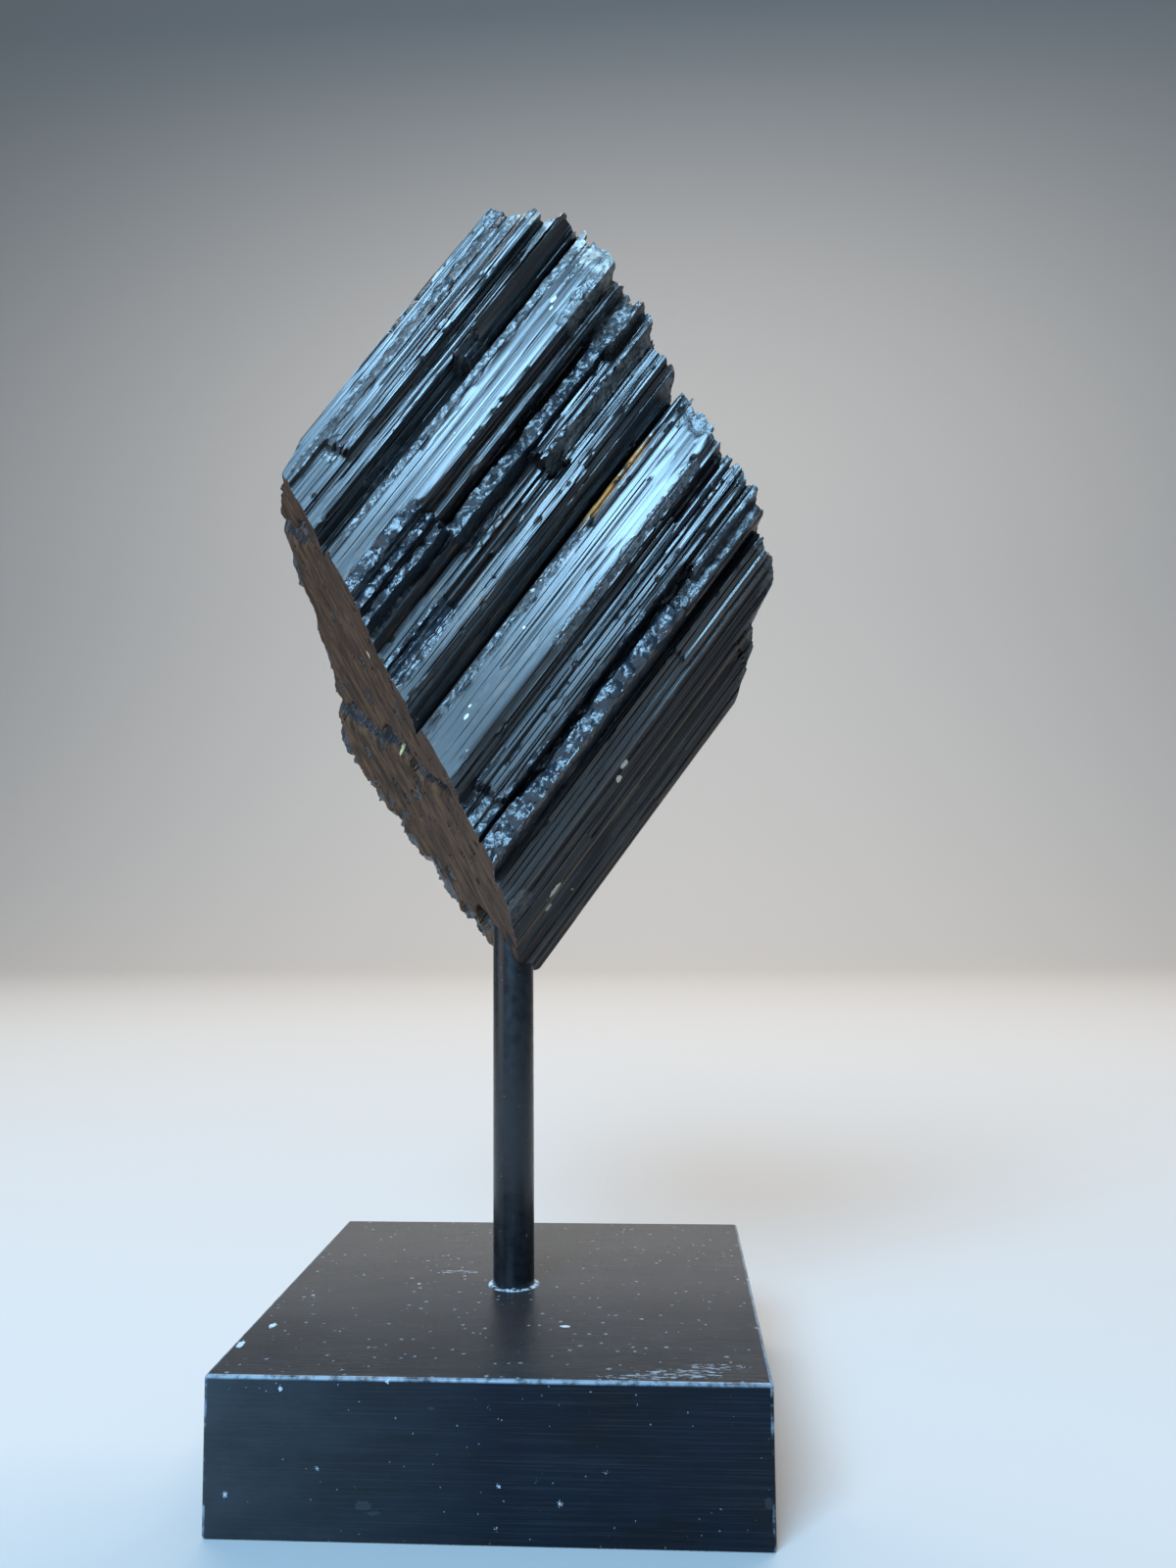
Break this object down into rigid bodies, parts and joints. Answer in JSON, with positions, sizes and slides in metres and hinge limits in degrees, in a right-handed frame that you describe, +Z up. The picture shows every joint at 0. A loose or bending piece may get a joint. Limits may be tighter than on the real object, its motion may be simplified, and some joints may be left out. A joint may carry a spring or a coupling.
{
  "type": "tourmaline crystal on a stand",
  "caption": "Black tourmaline chunk of striated diagonal columns with a sawn lower-left end, held on a thin round rod in a square black block.",
  "frame": {"origin": "centre of the block's underside, on the surface it stands on", "axes": "+Z up along the rod; -Y towards the face of the crystal that the picture shows; +X to the right in that view, the way the columns lean as they rise"},
  "size_m": [0.101, 0.09, 0.2373],
  "materials": {
    "tourmaline": "glossy striated column faces, sparkling rough fractures, matt brown sawn face",
    "painted_rod": "satin black paint",
    "painted_block": "satin black paint with a fine horizontal grain, edges worn pale"
  },
  "bodies": {
    "root": {"crystal": "tourmaline", "rod": "painted_rod", "base": "painted_block"}
  },
  "joints": []
}
